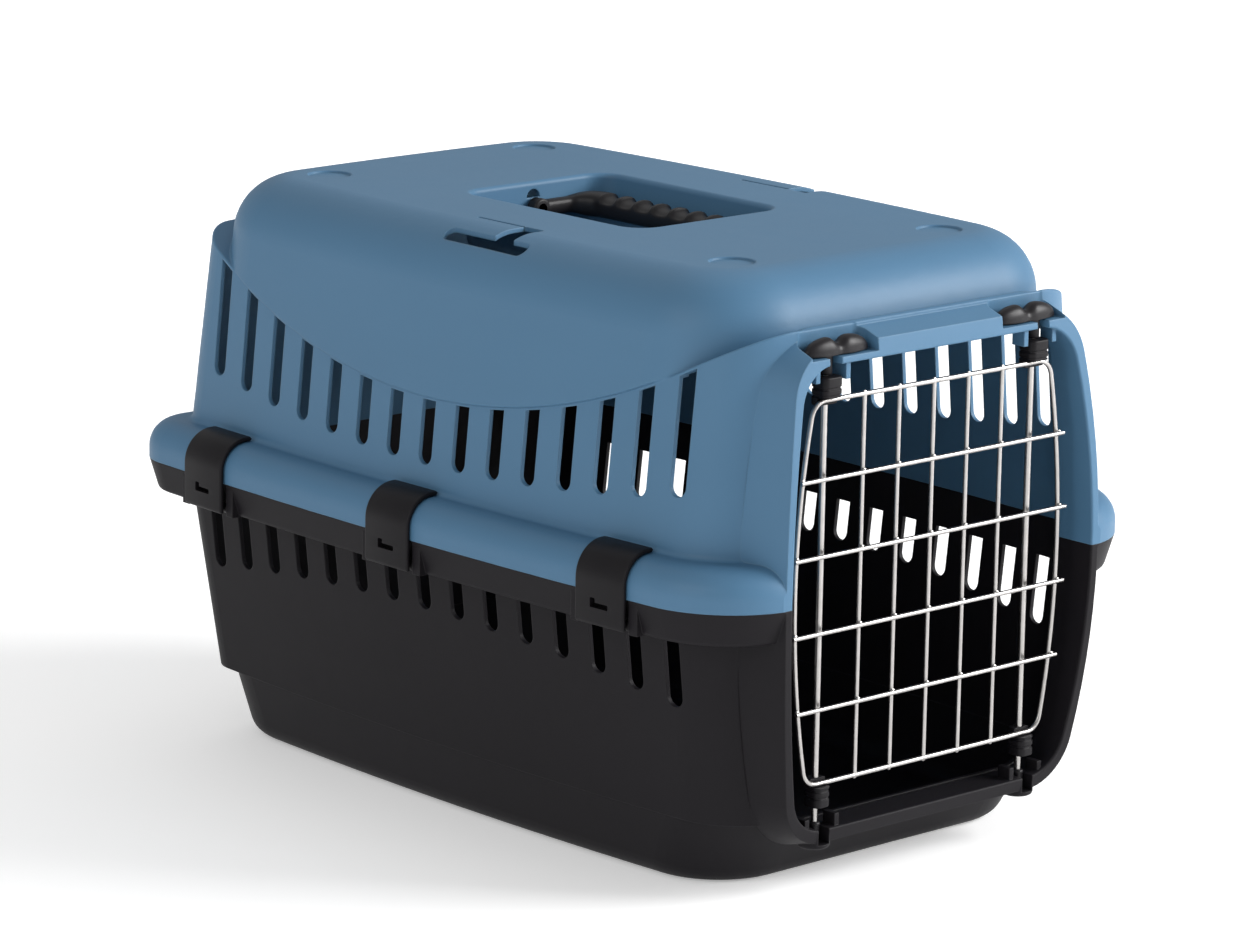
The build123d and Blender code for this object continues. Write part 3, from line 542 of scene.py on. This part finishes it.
# strap, barrel and web are made once about the hinge line, then set on each clip's own hinge
def makeClips():
    joints = {j["name"]: j for j in frame["joints"]}
    low, high = (np.array(corner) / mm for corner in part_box("rim_clip_left_middle"))
    halfWidth = (high[1] - low[1]) / 2
    rings = clipStrap(halfWidth)
    out, bore = strap["barrel"], strap["barrelBore"]
    angle = np.linspace(0, 2 * np.pi, 24, endpoint=False)
    edge = strap["barrelEdge"]
    tube = [(out - edge, -halfWidth), (out, edge - halfWidth), (out, halfWidth - edge),
            (out - edge, halfWidth), (bore, halfWidth), (bore, -halfWidth)]
    tubeRings = np.array([np.column_stack([r * np.cos(angle), np.full(24, y), r * np.sin(angle)])
                          for r, y in tube])
    web = roundRectangle(strap["web"], halfWidth - strap["webIn"], strap["webEdge"], 3)
    webRings = np.array([np.column_stack([np.full(len(web), x), web[:, 1], web[:, 0]])
                         for x in (strap["webFrom"], strap["webTo"])])
    for node, body in bodyOf.items():
        if not node.startswith("rim_clip"):
            continue
        skins = [skin(rings * mm), skin(tubeRings * mm, loop=True), skin(webRings * mm)]
        piece = makePiece(node.replace("rim_clip", "strap_clip"), skins, "black_trim")
        carve(piece, blockCutter(strap["window"], strap["windowAt"]))
        carve(piece, blockCutter(strap["notch"], strap["notchAt"]))
        piece.data.set_sharp_from_angle(angle=math.radians(38))
        hinge = joints[body.replace("_body", "_hinge")]
        tangent = Vector(hinge["axis"])
        outward = Vector((tangent.y, -tangent.x, 0))
        place = Matrix((outward, tangent, Vector((0, 0, 1)))).transposed().to_4x4()
        place.translation = Vector(hinge["pos_m"])
        piece.data.transform(place)
        settle(piece, body, "black_trim", node)


makeClips()
print("rim clips: done")


# weld beads where the door's wires cross
weld = dict(reach=1.75, depth=1.0, height=1.75, gap=4 * mm, level=12 * mm)


# middles of the groups into which a gap parts sorted values
def groups(values):
    values = np.sort(values)
    cuts = np.where(np.diff(values) > weld["gap"])[0] + 1
    return [(part[0] + part[-1]) / 2 for part in np.split(values, cuts)]


# all corner points of a CAD node, one row each
def nodePoints(name):
    flat = np.empty(len(nodes[name].data.vertices) * 3)
    nodes[name].data.vertices.foreach_get("co", flat)
    return flat.reshape(-1, 3)


# one flattened ball: an oval turned about the upright line
def bead(centre):
    angle = np.linspace(0, np.pi, 9)[1:-1]
    profile = np.column_stack([np.sin(angle) * weld["reach"], -np.cos(angle) * weld["height"]]) * mm
    points, faces = lathe(profile, (0, 0), 14)
    return points * (1, weld["depth"] / weld["reach"], 1) + centre, faces


# one bead at every crossing, at both ends of each cross wire and of each upright
def makeWelds():
    crossLow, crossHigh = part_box("door_cross_wires")
    upLow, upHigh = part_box("door_upright_wires")
    loop = nodePoints("door_loop_wire")
    levels = groups(nodePoints("door_cross_wires")[:, 2])
    uprights = groups(nodePoints("door_upright_wires")[:, 0])
    touch = (crossHigh[1] + upLow[1]) / 2
    wire = (crossHigh[1] - crossLow[1]) / 2
    beads = [bead((x, touch, z)) for z in levels for x in uprights]
    for z in levels:
        near = loop[np.abs(loop[:, 2] - z) < weld["level"]]
        for x in (near[:, 0].min() + wire, near[:, 0].max() - wire):
            beads.append(bead((x, touch, z)))
    middle = (upLow[1] + upHigh[1]) / 2
    for z in (loop[:, 2].min() + wire, loop[:, 2].max() - wire):
        beads += [bead((x, middle, z)) for x in uprights]
    piece = makePiece("door_weld_beads", beads, "steel_wire")
    settle(piece, "door", "steel_wire")


makeWelds()
print("door welds: done")


view = dict(place=(-1.7438, -1.9069, 0.7564), turn=42.393, tilt=-13.037, roll=0.934, lens=150.06)


# the camera's axes from its compass turn, tilt and roll
def makeCamera():
    turn, tilt, roll = (math.radians(view[k]) for k in ("turn", "tilt", "roll"))
    forward = Vector((math.sin(turn) * math.cos(tilt), math.cos(turn) * math.cos(tilt), math.sin(tilt)))
    level = Vector((math.cos(turn), -math.sin(turn), 0))
    up = level.cross(forward)
    right = math.cos(roll) * level + math.sin(roll) * up
    top = -math.sin(roll) * level + math.cos(roll) * up
    camera = bpy.data.objects.new("camera", bpy.data.cameras.new("camera"))
    camera.data.sensor_width = 36
    camera.data.lens = view["lens"]
    camera.data.clip_end = 50
    axes = Matrix((right, top, -forward)).transposed().to_4x4()
    camera.matrix_world = Matrix.Translation(view["place"]) @ axes
    bpy.context.scene.collection.objects.link(camera)
    bpy.context.scene.camera = camera


studio = dict(
    keyPlace=(2.0, -2.0, 1.5), keySize=1.5, keyPower=122,
    topPlace=(0.5, 1.0, 2.6), topSize=2.4, topPower=8,
    sidePlace=(-2.6, -0.4, 1.5), sideSize=1.6, sidePower=20,
    sky=0.46, aim=(0, 0, 0.14), floorReach=14,
)


# a soft square lamp that looks at the carrier's middle
def softbox(name, place, size, power):
    lamp = bpy.data.lights.new(name, "AREA")
    lamp.size = size
    lamp.energy = power
    box = bpy.data.objects.new(name, lamp)
    box.location = place
    aim = Vector(studio["aim"]) - Vector(place)
    box.rotation_euler = aim.to_track_quat("-Z", "Y").to_euler()
    bpy.context.scene.collection.objects.link(box)


# three soft lamps, an even pale sky and the paper floor, whose glow is painted light
def makeStudio():
    softbox("keyLight", studio["keyPlace"], studio["keySize"], studio["keyPower"])
    softbox("topLight", studio["topPlace"], studio["topSize"], studio["topPower"])
    softbox("sideLight", studio["sidePlace"], studio["sideSize"], studio["sidePower"])
    world = bpy.data.worlds.new("world")
    world.use_nodes = True
    world.node_tree.nodes["Background"].inputs["Color"].default_value = (1, 1, 1, 1)
    world.node_tree.nodes["Background"].inputs["Strength"].default_value = studio["sky"]
    bpy.context.scene.world = world
    bpy.context.scene.view_settings.view_transform = "Standard"
    mesh = bpy.data.meshes.new("floor")
    reach = studio["floorReach"]
    corners = [(-reach, -reach, 0), (reach, -reach, 0), (reach, reach, 0), (-reach, reach, 0)]
    mesh.from_pydata(corners, [], [(0, 1, 2, 3)])
    mesh.materials.append(paleFloor())
    floor = bpy.data.objects.new("floor", mesh)
    bpy.context.scene.collection.objects.link(floor)


makeCamera()
makeStudio()
print("studio: done")
